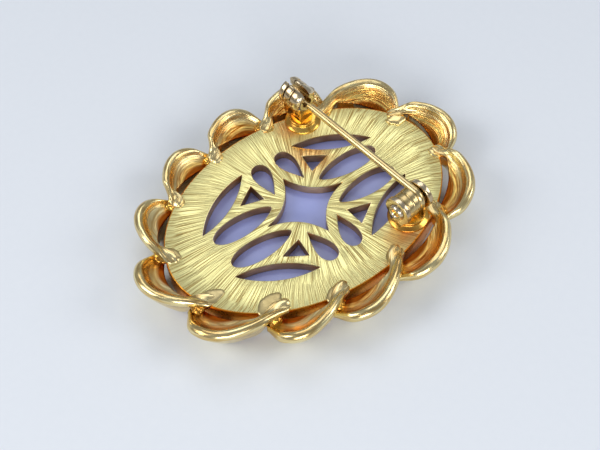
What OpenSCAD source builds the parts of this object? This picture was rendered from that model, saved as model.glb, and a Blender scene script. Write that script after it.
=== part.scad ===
// Porcelain brooch lying face down: a pierced, gilded back plate in a border of hollow scrolls, with a hinged pin
// and a locking catch. +Z is up, out of the back. +Y is the brooch's top when it is worn. The origin is under the
// middle of the plate, on the surface that the border rests on.

/* [Plate] */
// Length of the pierced back plate, top to bottom when worn
plate_l = 44; // [42:0.5:47]
// Width of the back plate
plate_w = 31; // [30:0.5:34]
// Thickness of the back plate
plate_t = 1.5; // [1.2:0.1:1.8]
// Wall of the bezel that holds the porcelain
bezel_wall = 0.9; // [0.7:0.1:1.2]

/* [Border] */
// Reach of the scrolls beyond the plate's edge
border_w = 5.2; // [4.8:0.1:5.6]
// Depth of the scrolls below the plate's back
border_d = 5; // [4.8:0.1:6]
// Thickness of the rounded bar along a scroll's outer edge
bar_d = 1.6; // [1.4:0.1:1.8]

/* [Pin] */
// Diameter of the pin's wire
wire_d = 1.1; // [1:0.05:1.15]
// Height of the pin's centre line above the plate
pin_up = 4.8; // [4.7:0.1:5]
// Turn of the pin from the plate's short axis, in degrees
pin_skew = 7.7; // [5:0.1:9]
// Distance of the pin from the plate's short axis
pin_off = 10.3; // [10:0.1:10.6]
// How far the pin's point is drawn down to a taper
taper_l = 6; // [5:0.5:7]

/* [Hinge] */
// Radius of the bracket's ears
ear_r = 2.2; // [2.1:0.05:2.4]
// Thickness of an ear
ear_t = 0.8; // [0.7:0.05:1]
// Diameter of the rivet's shank
rivet_d = 1.5; // [1.3:0.05:1.5]

/* [Catch] */
// Radius of the catch's three lobes
lobe_r = 2.1; // [2:0.05:2.2]
// Width of the gaps where the roller turns
catch_gap = 0.12; // [0.1:0.01:0.15]
// Width of the mouth that the pin drops through
mouth_w = 1; // [0.95:0.05:1.1]

/* [Hidden] */
$fn = 64;

half_l = plate_l / 2;
half_w = plate_w / 2;
// Height of the plate's back above the surface that the border lies on
back_z = border_d;
running_gap = 0.05;
sunk = 0.2;

// The pierced pattern is drawn for a plate 31 by 44 and grows or shrinks with it
pattern_k = min(plate_w / 31, plate_l / 44);
star_x = 5.67;
star_y = 6.6;
star_pull = 1.25;
petal_steps = 14;

// Findings stand in a frame turned by pin_skew: hinge to the right, catch to the left
hinge_x = 11.6 + (plate_w - 31) / 2;
catch_x = -12.5 - (plate_w - 31) / 2;
// The wire is a little thicker in the coil, and its neck narrows to the straight pin
coil_d = wire_d + 0.06;
neck_l = 2.6;
coil_r = 1.4;
coil_pitch = coil_d - 0.04;
coil_turns = 3;
hinge_z = back_z + pin_up - coil_r;
pin_z = back_z + pin_up;
coil_far = pin_off + coil_d / 2;
coil_near = coil_far - (coil_turns - 1) * coil_pitch - coil_d;
ear_far = coil_far + running_gap;
ear_near = coil_near - running_gap - ear_t;
rivet_head_r = 1.15;
rivet_head_t = 0.35;
barrel_z = pin_z + 0.3;
hollow_r = 0.85;
journal_r = 1.35;
lobe_x = [-2.15, -1.2, 0.3, 2.05];
point_r = 0.1;
rivet_gap = 0.03;
hinge_foot_r = 3;
catch_foot_r = 2.7;
foot_rim = 0.3;
drum_h = 1.2;
leg_w = 3.2;
saddle_w = 2.3;
leg_in = 0.15;
tab_w = 1;
tab_t = 0.8;
tab_reach = 3.4;
// The tab's turn from straight up towards the brooch's top, with the mouth open
tab_turn = 120;
porcelain_gap = 0.07;
rim_band = 3.5;
field_step = 0.04;
bezel_d = border_d - 1.1;
lip_t = 0.6;
lip_w = 0.7;
dome_r = 100;
dome_clear = 0.2;

function mix(a, b, k) = a * (1 - k) + b * k;

// A point outside the plate's edge: its angle on the ellipse and its distance out
function edge_point(turn, out) = let (
    nx = cos(turn) / half_w,
    ny = sin(turn) / half_l,
    n = sqrt(nx * nx + ny * ny)
) [half_w * cos(turn) + out * nx / n, half_l * sin(turn) + out * ny / n];

module oval(out) {
    polygon([for (turn = [0:5:355]) edge_point(turn, out)]);
}

// Pierced shapes. A leaf is what two circles share, through two points
module leaf(from, to, bulge) {
    chord = norm(to - from);
    r = (chord * chord / 4 + bulge * bulge) / (2 * bulge);
    middle = (from + to) / 2;
    side = [-(to - from)[1], (to - from)[0]] / chord * (r - bulge);
    intersection() {
        translate(middle + side) circle(r);
        translate(middle - side) circle(r);
    }
}

// A petal is pointed where it starts and round where it ends
module petal(from, to, width, fullest) {
    along = to - from;
    across = [-along[1], along[0]] / norm(along) * width / 2;
    sharp = fullest / (1 - fullest) / 2;
    peak = pow(fullest, sharp) * sqrt(1 - fullest);
    steps = [for (i = [1:petal_steps]) (1 - cos(180 * i / (petal_steps + 1))) / 2];
    half = [for (s = steps) pow(s, sharp) * sqrt(1 - s) / peak];
    polygon(concat(
        [from],
        [for (i = [0:petal_steps - 1]) from + along * steps[i] + across * half[i]],
        [to],
        [for (i = [petal_steps - 1:-1:0]) from + along * steps[i] - across * half[i]]
    ));
}

module star() {
    chord = norm([star_x, star_y]);
    r = (chord * chord / 4 + star_pull * star_pull) / (2 * star_pull);
    reach = r - star_pull;
    difference() {
        polygon([[star_x, 0], [0, star_y], [-star_x, 0], [0, -star_y]]);
        for (sx = [-1, 1], sy = [-1, 1])
            translate([sx * (star_x / 2 + star_y / chord * reach), sy * (star_y / 2 + star_x / chord * reach)])
                circle(r);
    }
}

module quarter_pattern() {
    leaf([9.85, 4.5], [4.2, 14.9], 1.3);
    petal([4.1, 2.6], [9.95, 1.9], 2.75, 0.7);
    petal([2.5, 4.3], [2.3, 14.15], 3.45, 0.58);
    polygon([[4.35, 4.3], [7.35, 4.6], [5.35, 7.7]]);
}

module pierced_pattern() {
    scale(pattern_k) {
        star();
        for (mx = [0, 1], my = [0, 1])
            mirror([mx, 0, 0])
                mirror([0, my, 0])
                    quarter_pattern();
    }
}

// The middle of the plate, with the pattern pierced through it
module pierced_field() {
    translate([0, 0, back_z - plate_t + field_step])
        linear_extrude(plate_t - 2 * field_step)
            difference() {
                oval(-rim_band + 0.5);
                pierced_pattern();
            }
}

// The plate's plain rim, the bezel below it round the porcelain, and the bezel's lip over the front edge
module bezel() {
    translate([0, 0, back_z - bezel_d])
        linear_extrude(bezel_d)
            difference() {
                oval(0);
                oval(-bezel_wall);
            }
    translate([0, 0, back_z - plate_t])
        linear_extrude(plate_t)
            difference() {
                oval(-bezel_wall + sunk);
                oval(-rim_band);
            }
    translate([0, 0, back_z - bezel_d])
        linear_extrude(lip_t)
            difference() {
                oval(-bezel_wall + sunk);
                oval(-bezel_wall - lip_w);
            }
}

// Each scroll starts under the tail of the one before. Columns: start as an angle round the plate, share of reach
scrolls = [
    [8, 1.01],
    [39, 0.93],
    [75, 0.91],
    [110, 1.04],
    [143, 1.07],
    [169, 1.05],
    [194, 0.99],
    [220, 0.95],
    [248, 0.97],
    [284, 1.01],
    [318, 1],
    [342, 1.01]
];
scroll_overlap = 8;

// One scroll, from its tucked start to its tail on the plate, in eighths of its run. It is a rounded bar with a
// hollow beside it. Columns: bar out, bar up, lip out, lip up, lowest point, hollow, bar's share, lip's radius
scroll_rows = [
    [1.3, -1.7, 0.25, -2.0, -2.8, 0.05, 0.56, 0.25],
    [3.35, -0.5, 0.5, -1.6, -4.0, 0.3, 0.9, 0.28],
    [4.15, 0.25, 0.85, -1.15, -4.9, 0.45, 1.0, 0.28],
    [4.25, 0.55, 1.1, -0.8, -4.9, 0.45, 1.02, 0.28],
    [3.8, 0.7, 1.25, -0.45, -4.3, 0.4, 1.02, 0.28],
    [2.95, 0.8, 1.2, -0.05, -3.5, 0.25, 1.0, 0.3],
    [1.95, 0.8, 0.8, 0.2, -2.9, 0.1, 0.94, 0.33],
    [0.8, 0.5, -1.2, 0.05, -1.5, 0, 0.75, 0.3],
    [-0.1, -0.1, -1.9, -0.15, -0.9, 0, 0.5, 0.25]
];
rows_w = 5.2;
rows_d = 5;
scroll_stations = 13;
lip_turns = [220, 160, 100];
bar_turns = [130, 92, 54, 16, -22, -60];
under_lean = 0.3;

// A smooth curve through the rows, at any place from 0 to 1
function row_at(i) = scroll_rows[max(0, min(len(scroll_rows) - 1, i))];
function smooth_row(place) = let (
    p = place * (len(scroll_rows) - 1),
    i = min(floor(p), len(scroll_rows) - 2),
    t = p - i,
    a = row_at(i - 1),
    b = row_at(i),
    c = row_at(i + 1),
    d = row_at(i + 2)
) (2 * b + (c - a) * t + (2 * a - 5 * b + 4 * c - d) * t * t + (3 * b - a - 3 * c + d) * t * t * t) / 2;

function bezier(p, t) = pow(1 - t, 3) * p[0] + 3 * t * pow(1 - t, 2) * p[1]
    + 3 * t * t * (1 - t) * p[2] + pow(t, 3) * p[3];

// A section's outline: round the lip, up the hollow, over the bar, then down and back under the scroll
function section(r) = let (
    bar = [r[0], r[1]],
    lip = [r[2], r[3]],
    along = (bar - lip) / norm(bar - lip),
    over = [-along[1], along[0]],
    lip_arc = [for (a = lip_turns) lip + r[7] * (cos(a) * along + sin(a) * over)],
    bar_arc = [for (a = bar_turns) bar + r[6] * bar_d / 2 * (cos(a) * along + sin(a) * over)],
    from = lip_arc[2],
    to = bar_arc[0],
    gap = norm(to - from),
    fall = cos(220) * along + sin(220) * over,
    dip = over * r[5] * 0.3,
    hollow = [from, from + along * gap * 0.3 - 3 * dip, to + fall * gap * 0.35 - dip, to],
    foot = bar_arc[5],
    back = lip_arc[0],
    middle = (foot[1] + back[1]) / 2,
    level = middle - max(middle - r[4], 0.05) / 0.75,
    under = [foot, [mix(back[0], foot[0], under_lean), level], [back[0], level], back]
) concat(
    lip_arc,
    [for (t = [0.25, 0.5, 0.75]) bezier(hollow, t)],
    bar_arc,
    [for (i = [1:5]) bezier(under, i / 6)]
);

// A section set in place round the plate
function placed(outline, turn, reach) = [
    for (p = outline)
        let (at = edge_point(turn, p[0] * reach * border_w / rows_w)) [at[0], at[1], back_z + p[1] * border_d / rows_d]
];

module scroll(turn_from, turn_to, reach) {
    rings = [
        for (s = [0:scroll_stations])
            placed(section(smooth_row(s / scroll_stations)), mix(turn_from, turn_to, s / scroll_stations), reach)
    ];
    n = len(rings[0]);
    points = [for (ring = rings) for (p = ring) p];
    sides = [
        for (s = [0:scroll_stations - 1], i = [0:n - 1])
            let (j = (i + 1) % n, a = s * n, b = (s + 1) * n) each [[a + i, b + i, b + j], [a + i, b + j, a + j]]
    ];
    start = [for (i = [0:n - 1]) i];
    end = [for (i = [n - 1:-1:0]) scroll_stations * n + i];
    polyhedron(points, concat(sides, [start], [end]));
}

// Rim, bezel and scrolls, taken together as one faceted casting at their own size
module rim_and_border() {
    resize([0, 0, 0]) {
        bezel();
        for (i = [0:len(scrolls) - 1]) {
            next = i + 1 < len(scrolls) ? scrolls[i + 1][0] : scrolls[0][0] + 360;
            scroll(scrolls[i][0], next + scroll_overlap, scrolls[i][1]);
        }
    }
}

// Everything on the pin's line is drawn along X and turned into place
module on_pin_line() {
    rotate([0, 0, pin_skew]) children();
}

module lying(x, y, z) {
    translate([x, y, z]) rotate([-90, 0, 0]) children();
}

// A round bar's half profile with rounded ends, to be turned about its axis
module bar_profile(r, length, round_a, round_b) {
    translate([0, round_a]) square([r, length - round_a - round_b]);
    square([r - round_a, length / 2]);
    translate([0, length / 2]) square([r - round_b, length / 2]);
    translate([r - round_a, round_a]) circle(round_a);
    translate([r - round_b, length - round_b]) circle(round_b);
}

// A soldered foot with a hollow fillet, standing on the plate
module foot(r, height, waist) {
    rotate_extrude()
        difference() {
            translate([0, -sunk]) square([r, height + sunk]);
            translate([waist + height, height + foot_rim]) circle(height);
        }
}

module hinge_bracket() {
    middle_y = (ear_near + ear_far + ear_t) / 2;
    difference() {
        union() {
            translate([hinge_x, middle_y, back_z]) foot(hinge_foot_r, drum_h, hinge_foot_r - 0.7);
            for (y = [ear_near, ear_far]) {
                lying(hinge_x, y, hinge_z) cylinder(r = ear_r, h = ear_t);
                translate([hinge_x - leg_w / 2, y, back_z - sunk]) cube([leg_w, ear_t, pin_up - coil_r]);
            }
        }
        lying(hinge_x, ear_near - 1, hinge_z)
            cylinder(d = rivet_d + 2 * rivet_gap, h = ear_far - ear_near + ear_t + 2);
    }
}

module catch_ears() {
    difference() {
        union() {
            translate([catch_x + 0.9, pin_off, back_z]) foot(catch_foot_r, drum_h, catch_foot_r - 0.8);
            translate([catch_x + lobe_x[0] + 0.3, pin_off - saddle_w / 2, back_z + 0.5])
                cube([lobe_x[3] - lobe_x[0] - 0.6, saddle_w, barrel_z - lobe_r - catch_gap - back_z - 0.5]);
            for (lobe = [0, 2])
                translate([catch_x + lobe_x[lobe] + leg_in, pin_off - saddle_w / 2, back_z + 1])
                    cube([lobe_x[lobe + 1] - lobe_x[lobe] - 2 * leg_in, saddle_w, barrel_z - back_z - 2.2]);
            on_barrel(lobe_x[0]) bar_profile(lobe_r, lobe_x[1] - lobe_x[0], 0.35, 0.25);
            on_barrel(lobe_x[2]) bar_profile(lobe_r, lobe_x[3] - lobe_x[2], 0.25, 0.9);
        }
        on_barrel(lobe_x[0] - 1) square([journal_r + running_gap, lobe_x[3] - lobe_x[0] + 2]);
        mouth();
    }
}

// A profile turned about the catch's barrel, from a place along it
module on_barrel(from) {
    translate([catch_x + from, pin_off, barrel_z]) rotate([0, 90, 0]) rotate_extrude() children();
}

module mouth() {
    translate([catch_x - 4, pin_off - mouth_w / 2, barrel_z])
        cube([8, mouth_w, lobe_r + 1]);
}

module setting() {
    color("goldenrod") {
        rim_and_border();
        pierced_field();
        on_pin_line() {
            hinge_bracket();
            catch_ears();
        }
    }
}

// The porcelain: an oval flange behind the bezel's lip and a low dome through it
module porcelain_plaque() {
    front_z = back_z - bezel_d + lip_t;
    color("lightsteelblue") {
        translate([0, 0, front_z + 0.1])
            linear_extrude(bezel_d - lip_t - plate_t - 0.1 - porcelain_gap) oval(-0.1 - bezel_wall);
        intersection() {
            translate([0, 0, dome_clear]) linear_extrude(front_z + 0.5) oval(-0.1 - bezel_wall - lip_w);
            translate([0, 0, dome_r + dome_clear]) sphere(dome_r, $fn = 256);
        }
    }
}

module hinge_rivet() {
    grip = ear_far + ear_t - ear_near;
    color("goldenrod")
        on_pin_line()
            lying(hinge_x, ear_near, hinge_z)
                rotate_extrude() {
                    translate([0, -rivet_gap - 0.1]) square([rivet_d / 2, grip + 2 * rivet_gap + 0.2]);
                    translate([0, grip + rivet_gap]) bar_profile(rivet_head_r, rivet_head_t, 0.05, 0.17);
                    translate([0, -rivet_gap - rivet_head_t]) bar_profile(rivet_head_r, rivet_head_t, 0.17, 0.05);
                }
}

// The pin: a coil of wire on the rivet, and its last turn drawn out straight to a point
module pin_stem() {
    tip_x = catch_x + lobe_x[0] + 0.2;
    color("palegoldenrod")
        on_pin_line() {
            lying(hinge_x, coil_near, hinge_z) {
                rotate_extrude() {
                    for (i = [0:coil_turns - 2])
                        translate([coil_r, coil_d / 2 + i * coil_pitch]) circle(d = coil_d);
                    translate([rivet_d / 2 + running_gap, 0.15])
                        square([coil_r - rivet_d / 2 - running_gap, coil_far - coil_near - 0.3]);
                }
                rotate([0, 0, -90])
                    rotate_extrude(angle = 270)
                        translate([coil_r, coil_d / 2 + (coil_turns - 1) * coil_pitch]) circle(d = coil_d);
            }
            translate([hinge_x, pin_off, pin_z])
                rotate([0, -90, 0]) {
                    cylinder(d1 = coil_d, d2 = wire_d, h = neck_l);
                    translate([0, 0, neck_l]) cylinder(d = wire_d, h = hinge_x - tip_x - taper_l - neck_l);
                    translate([0, 0, hinge_x - tip_x - taper_l])
                        cylinder(r1 = wire_d / 2, r2 = point_r, h = taper_l);
                    translate([0, 0, hinge_x - tip_x]) sphere(point_r);
                }
        }
}

// The catch's turning part: a split tube in both ears, a collar between them and a thumb tab
module catch_roller() {
    collar_from = lobe_x[1] + catch_gap;
    collar_l = lobe_x[2] - lobe_x[1] - 2 * catch_gap;
    color("goldenrod")
        on_pin_line()
            difference() {
                union() {
                    on_barrel(lobe_x[0] + 0.05) square([journal_r, lobe_x[3] - lobe_x[0] - 0.1]);
                    on_barrel(collar_from) bar_profile(lobe_r, collar_l, 0.35, 0.35);
                    translate([catch_x + collar_from + (collar_l - tab_w) / 2, pin_off, barrel_z])
                        rotate([-tab_turn, 0, 0])
                            translate([0, -tab_t / 2, 0]) {
                                cube([tab_w, tab_t, tab_reach]);
                                translate([tab_w / 2, tab_t, tab_reach]) rotate([90, 0, 0]) cylinder(d = tab_w, h = tab_t);
                            }
                }
                on_barrel(lobe_x[0] - 1) square([hollow_r, lobe_x[3] - lobe_x[0] + 2]);
                mouth();
            }
}

setting();
porcelain_plaque();
hinge_rivet();
pin_stem();
catch_roller();
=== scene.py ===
import math

import bmesh
import bpy
from mathutils import Matrix, Vector, noise


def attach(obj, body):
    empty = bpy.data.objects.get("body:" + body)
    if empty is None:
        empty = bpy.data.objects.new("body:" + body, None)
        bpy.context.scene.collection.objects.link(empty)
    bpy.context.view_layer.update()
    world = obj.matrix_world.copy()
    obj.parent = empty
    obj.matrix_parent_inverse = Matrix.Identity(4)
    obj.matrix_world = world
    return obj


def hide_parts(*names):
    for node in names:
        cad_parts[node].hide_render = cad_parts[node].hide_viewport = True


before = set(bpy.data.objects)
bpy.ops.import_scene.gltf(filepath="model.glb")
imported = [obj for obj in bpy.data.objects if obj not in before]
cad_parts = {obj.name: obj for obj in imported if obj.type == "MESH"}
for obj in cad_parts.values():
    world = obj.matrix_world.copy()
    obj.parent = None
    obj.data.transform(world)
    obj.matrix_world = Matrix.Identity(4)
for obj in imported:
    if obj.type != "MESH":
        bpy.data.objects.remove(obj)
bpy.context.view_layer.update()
mm = 0.001


def linear(hexColour):
    # sRGB hex to the linear colour that a shader socket takes
    parts = [int(hexColour[i:i + 2], 16) / 255 for i in (1, 3, 5)]
    return [c / 12.92 if c <= 0.04045 else ((c + 0.055) / 1.055) ** 2.4 for c in parts] + [1]


def addNode(tree, kind, inputs=None, **settings):
    node = tree.nodes.new(kind)
    for name, value in settings.items():
        setattr(node, name, value)
    for socket, value in (inputs or {}).items():
        if isinstance(value, bpy.types.NodeSocket):
            tree.links.new(value, node.inputs[socket])
        else:
            node.inputs[socket].default_value = value
    return node


def newMaterial(name):
    material = bpy.data.materials.new(name)
    material.use_nodes = True
    tree = material.node_tree
    return material, tree, tree.nodes["Principled BSDF"]


def fillShader(tree, shader, patterns, values):
    for socket, pattern in patterns.items():
        tree.links.new(pattern, shader.inputs[socket])
    for socket, value in values.items():
        shader.inputs[socket].default_value = value


def mix(a, b, k):
    return a * (1 - k) + b * k


def smoothStep(low, high, x):
    t = max(0, min(1, (x - low) / (high - low)))
    return t * t * (3 - 2 * t)


def finishPiece(name, bm, materials, body, nodes, sharpAt=38):
    # a bmesh drawn in millimetres becomes a piece in metres that rides on its body
    bmesh.ops.remove_doubles(bm, verts=bm.verts[:], dist=0.0005)
    bmesh.ops.recalc_face_normals(bm, faces=bm.faces[:])
    bmesh.ops.scale(bm, vec=(mm, mm, mm), verts=bm.verts[:])
    mesh = bpy.data.meshes.new(name)
    bm.to_mesh(mesh)
    bm.free()
    mesh.shade_smooth()
    mesh.set_sharp_from_angle(angle=math.radians(sharpAt))
    for material in materials:
        mesh.materials.append(material)
    piece = bpy.data.objects.new(name, mesh)
    bpy.context.collection.objects.link(piece)
    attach(piece, body)
    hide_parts(*nodes)


# the camera stands at the photograph's angle; its distance, aim and slides are in mm
view = {"lens": 66, "sensor": 36, "clip": (0.005, 20), "distance": 158.32, "elevation": 56.114,
        "azimuth": 57.234, "roll": -3, "aim": (0, 0, 5), "slideRight": -0.7959, "slideUp": -2.9862}


def makeCamera():
    turn, rise, roll = (math.radians(view[k]) for k in ("azimuth", "elevation", "roll"))
    back = Vector((math.sin(turn) * math.cos(rise), -math.cos(turn) * math.cos(rise), math.sin(rise)))
    level = Vector((math.cos(turn), math.sin(turn), 0))
    over = back.cross(level)
    right = math.cos(roll) * level + math.sin(roll) * over
    up = back.cross(right)
    place = Vector(view["aim"]) + back * view["distance"] + right * view["slideRight"] + up * view["slideUp"]
    data = bpy.data.cameras.new("camera")
    data.lens = view["lens"]
    data.sensor_width = view["sensor"]
    data.clip_start, data.clip_end = view["clip"]
    camera = bpy.data.objects.new("camera", data)
    facing = Matrix((right, up, back)).transposed().to_4x4()
    camera.matrix_world = Matrix.Translation(place * mm) @ facing
    bpy.context.collection.objects.link(camera)
    bpy.context.scene.camera = camera
    return back, right


towardsCamera, cameraRight = makeCamera()
print("camera placed")


# the graver's work on the plate, in mm: each ring has its outer radius and the lean of its strokes,
# and each tint is an orange patch on the plate, as x, y and reach
graving = {"ridge": linear("#f6eea8"), "shadedFurrow": linear("#b6944e"),
           "tintedRidge": linear("#eec07a"), "tintedShadedFurrow": linear("#a9581a"),
           "spacing": 0.13, "length": 14.286, "depth": 0.035, "cut": (0.36, 0.535), "bend": 0.05,
           "wander": 8.3333, "rings": ((7, 0.0), (10.5, 0.006), (15, -0.005), (20, 0.004)),
           "ringShift": 7.0, "ringBlend": (0.5, 2.0), "ringRagged": 5.0,
           "tints": ((-6.8, 5.7, 5.2), (-13.0, 6.5, 3.5), (13.0, 8.6, 4.6), (16.5, 3.5, 3.0)),
           "blotch": 1.6667, "tintRagged": 3.0, "tintStart": 1.5, "furrowRough": 0.5, "ridgeRough": 0.34}


def makeEngravedGilding():
    # gilded brass, cut with a graver in strokes that fan out from the star: bright cream ridges with golden
    # furrows between them, darker as painted shade in the cuts, and orange round the findings
    material, tree, shader = newMaterial("gilding, hand engraved")
    place = addNode(tree, "ShaderNodeTexCoord").outputs["Object"]
    inMm = addNode(tree, "ShaderNodeVectorMath", {
        0: place, 1: (1 / mm, 1 / mm, 0)}, operation="MULTIPLY").outputs[0]
    wander = addNode(tree, "ShaderNodeTexNoise", {
        "Vector": inMm, "Scale": 1 / graving["wander"], "Detail": 0.0}).outputs["Fac"]
    parts = addNode(tree, "ShaderNodeSeparateXYZ", {0: inMm})
    angle = addNode(tree, "ShaderNodeMath", {
        0: parts.outputs[1], 1: parts.outputs[0]}, operation="ARCTAN2").outputs[0]
    bent = addNode(tree, "ShaderNodeMath", {
        0: wander, 1: graving["bend"], 2: angle}, operation="MULTIPLY_ADD").outputs[0]
    radius = addNode(tree, "ShaderNodeVectorMath", {0: inMm}, operation="LENGTH").outputs["Value"]
    along = addNode(tree, "ShaderNodeMath", {
        0: radius, 1: 1 / graving["length"]}, operation="MULTIPLY").outputs[0]
    ragged = addNode(tree, "ShaderNodeMath", {
        0: wander, 1: graving["ringRagged"], 2: radius}, operation="MULTIPLY_ADD").outputs[0]
    strokes = None
    for ring, (reach, lean) in enumerate(graving["rings"]):
        # the angle is spaced anew in each ring, so the strokes stay as wide in millimetres further out
        leaning = addNode(tree, "ShaderNodeMath", {
            0: radius, 1: lean, 2: bent}, operation="MULTIPLY_ADD").outputs[0]
        across = addNode(tree, "ShaderNodeMath", {
            0: leaning, 1: reach / graving["spacing"]}, operation="MULTIPLY").outputs[0]
        spot = addNode(tree, "ShaderNodeCombineXYZ", {
            0: across, 1: along, 2: ring * graving["ringShift"]}).outputs[0]
        cut = addNode(tree, "ShaderNodeTexNoise", {
            "Vector": spot, "Scale": 1.0, "Detail": 3.0, "Roughness": 0.55}).outputs["Fac"]
        if strokes is None:
            strokes = cut
            continue
        begin, end = (reach + more for more in graving["ringBlend"])
        share = addNode(tree, "ShaderNodeMapRange", {
            0: ragged, 1: begin, 2: end}, interpolation_type="SMOOTHSTEP").outputs[0]
        strokes = addNode(tree, "ShaderNodeMix", {0: share, 2: strokes, 3: cut}).outputs[0]
    low, high = graving["cut"]
    crisp = addNode(tree, "ShaderNodeMapRange", {0: strokes, 1: low, 2: high}).outputs[0]
    blotches = addNode(tree, "ShaderNodeTexNoise", {
        "Vector": inMm, "Scale": 1 / graving["blotch"], "Detail": 2.0}).outputs["Fac"]
    warmth = None
    for x, y, reach in graving["tints"]:
        far = addNode(tree, "ShaderNodeVectorMath", {
            0: inMm, 1: (x, y, 0)}, operation="DISTANCE").outputs["Value"]
        uneven = addNode(tree, "ShaderNodeMath", {
            0: blotches, 1: graving["tintRagged"], 2: far}, operation="MULTIPLY_ADD").outputs[0]
        begin, end = graving["tintStart"], graving["tintStart"] + reach
        near = addNode(tree, "ShaderNodeMapRange", {
            0: uneven, 1: begin, 2: end, 3: 1.0, 4: 0.0}, interpolation_type="SMOOTHSTEP").outputs[0]
        warmth = near if warmth is None else addNode(tree, "ShaderNodeMath", {
            0: warmth, 1: near}, operation="MAXIMUM").outputs[0]
    shadedFurrow = addNode(tree, "ShaderNodeMix", {
        0: warmth, 6: graving["shadedFurrow"], 7: graving["tintedShadedFurrow"]}, data_type="RGBA").outputs[2]
    ridge = addNode(tree, "ShaderNodeMix", {
        0: warmth, 6: graving["ridge"], 7: graving["tintedRidge"]}, data_type="RGBA").outputs[2]
    # the furrows, low in the bump, take painted shade
    colour = addNode(tree, "ShaderNodeMix", {0: crisp, 6: shadedFurrow, 7: ridge}, data_type="RGBA").outputs[2]
    gloss = addNode(tree, "ShaderNodeMapRange", {
        0: crisp, 3: graving["furrowRough"], 4: graving["ridgeRough"]}).outputs[0]
    bump = addNode(tree, "ShaderNodeBump", {
        "Height": crisp, "Strength": 0.8, "Distance": graving["depth"] * mm}).outputs[0]
    fillShader(tree, shader, {"Base Color": colour, "Roughness": gloss, "Normal": bump}, {"Metallic": 1})
    return material


# the scrolls' streaks, with the hollow's painted reflection and shade; the UV maps give mm along the run
# and over the section from the bar's crest, and each pair is where something begins and where it is complete
filing = {"bar": linear("#f0dfa6"), "barStreak": linear("#d2ae6c"), "troughReflection": linear("#ffdc7c"),
          "troughStreakReflection": linear("#be7020"), "deepShade": linear("#8e4a10"), "spacing": 0.26, "length": 4.0,
          "depth": 0.045, "cut": (0.36, 0.62), "hollow": (1.3, 2.3), "polished": (-1.8, -0.3),
          "smooth": 0.85, "bottom": (3.2, 3.9), "buffReach": (1.0, 2.0), "glint": 0.25, "satin": 0.38,
          "dulls": (0.5, 1.8), "barRough": 0.23, "barDepth": 0.5}


def makeScrollGilding():
    # gilded brass casting, filed along its run: cream and finely streaked on the buffed bar, and golden
    # orange with deeper streaks in the hollow, a painted reflection of the gold walls in each other, and
    # painted shade at its bottom
    material, tree, shader = newMaterial("gilding, buffed bar and filed hollow")
    run = addNode(tree, "ShaderNodeUVMap", uv_map="run").outputs[0]
    across = addNode(tree, "ShaderNodeSeparateXYZ", {0: run}).outputs[1]
    begin, end = filing["hollow"]
    inside = addNode(tree, "ShaderNodeMapRange", {
        0: across, 1: begin, 2: end}, interpolation_type="SMOOTHSTEP").outputs[0]
    finer = (1 / filing["length"], 1 / filing["spacing"], 1)
    spread = addNode(tree, "ShaderNodeVectorMath", {0: run, 1: finer}, operation="MULTIPLY").outputs[0]
    stria = addNode(tree, "ShaderNodeTexNoise", {
        "Vector": spread, "Scale": 1.0, "Detail": 2.0, "Roughness": 0.6, "Distortion": 0.35}).outputs["Fac"]
    low, high = filing["cut"]
    lines = addNode(tree, "ShaderNodeMapRange", {0: stria, 1: low, 2: high}).outputs[0]
    # the outer side, past the bar, is polished
    begin, end = filing["polished"]
    worked = addNode(tree, "ShaderNodeMapRange", {
        0: across, 1: begin, 2: end}, interpolation_type="SMOOTHSTEP").outputs[0]
    crisp = addNode(tree, "ShaderNodeMix", {0: worked, 2: filing["smooth"], 3: lines}).outputs[0]
    # in the hollow the file's streaks are real, and the golden orange is a painted reflection
    filed = addNode(tree, "ShaderNodeMix", {
        0: crisp, 6: filing["troughStreakReflection"], 7: filing["troughReflection"]}, data_type="RGBA").outputs[2]
    buffed = addNode(tree, "ShaderNodeMix", {
        0: crisp, 6: filing["barStreak"], 7: filing["bar"]}, data_type="RGBA").outputs[2]
    upper = addNode(tree, "ShaderNodeMix", {0: inside, 6: buffed, 7: filed}, data_type="RGBA").outputs[2]
    # painted shade: the bottom of the hollow, beside the plate, turns a deep orange brown
    unscaled = addNode(tree, "ShaderNodeUVMap", uv_map="hollow").outputs[0]
    hollow = addNode(tree, "ShaderNodeSeparateXYZ", {0: unscaled})
    begin, end = filing["bottom"]
    bottom = addNode(tree, "ShaderNodeMapRange", {
        0: hollow.outputs[0], 1: begin, 2: end}, interpolation_type="SMOOTHSTEP").outputs[0]
    colour = addNode(tree, "ShaderNodeMix", {
        0: bottom, 6: upper, 7: filing["deepShade"]}, data_type="RGBA").outputs[2]
    # where the buff reached far in, the hollow is satin, and elsewhere the file's streaks still glint
    begin, end = filing["buffReach"]
    satin = addNode(tree, "ShaderNodeMapRange", {
        0: hollow.outputs[1], 1: begin, 2: end, 3: filing["glint"], 4: filing["satin"]}).outputs[0]
    begin, end = filing["dulls"]
    gloss = addNode(tree, "ShaderNodeMapRange", {
        0: across, 1: begin, 2: end, 3: filing["barRough"], 4: satin}).outputs[0]
    strength = addNode(tree, "ShaderNodeMapRange", {0: inside, 3: filing["barDepth"], 4: 1.0}).outputs[0]
    bump = addNode(tree, "ShaderNodeBump", {
        "Height": crisp, "Strength": strength, "Distance": filing["depth"] * mm}).outputs[0]
    fillShader(tree, shader, {"Base Color": colour, "Roughness": gloss, "Normal": bump}, {"Metallic": 1})
    return material


# gilding that has one finish all over, in mm: its patches, and how deep its marks go at full strength
evenGilding = {"patch": 4.0, "patches": (0.35, 0.7), "marks": (0.3, 0.7), "glossy": 0.75, "dull": 1.3,
               "depth": 0.02}


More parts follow.
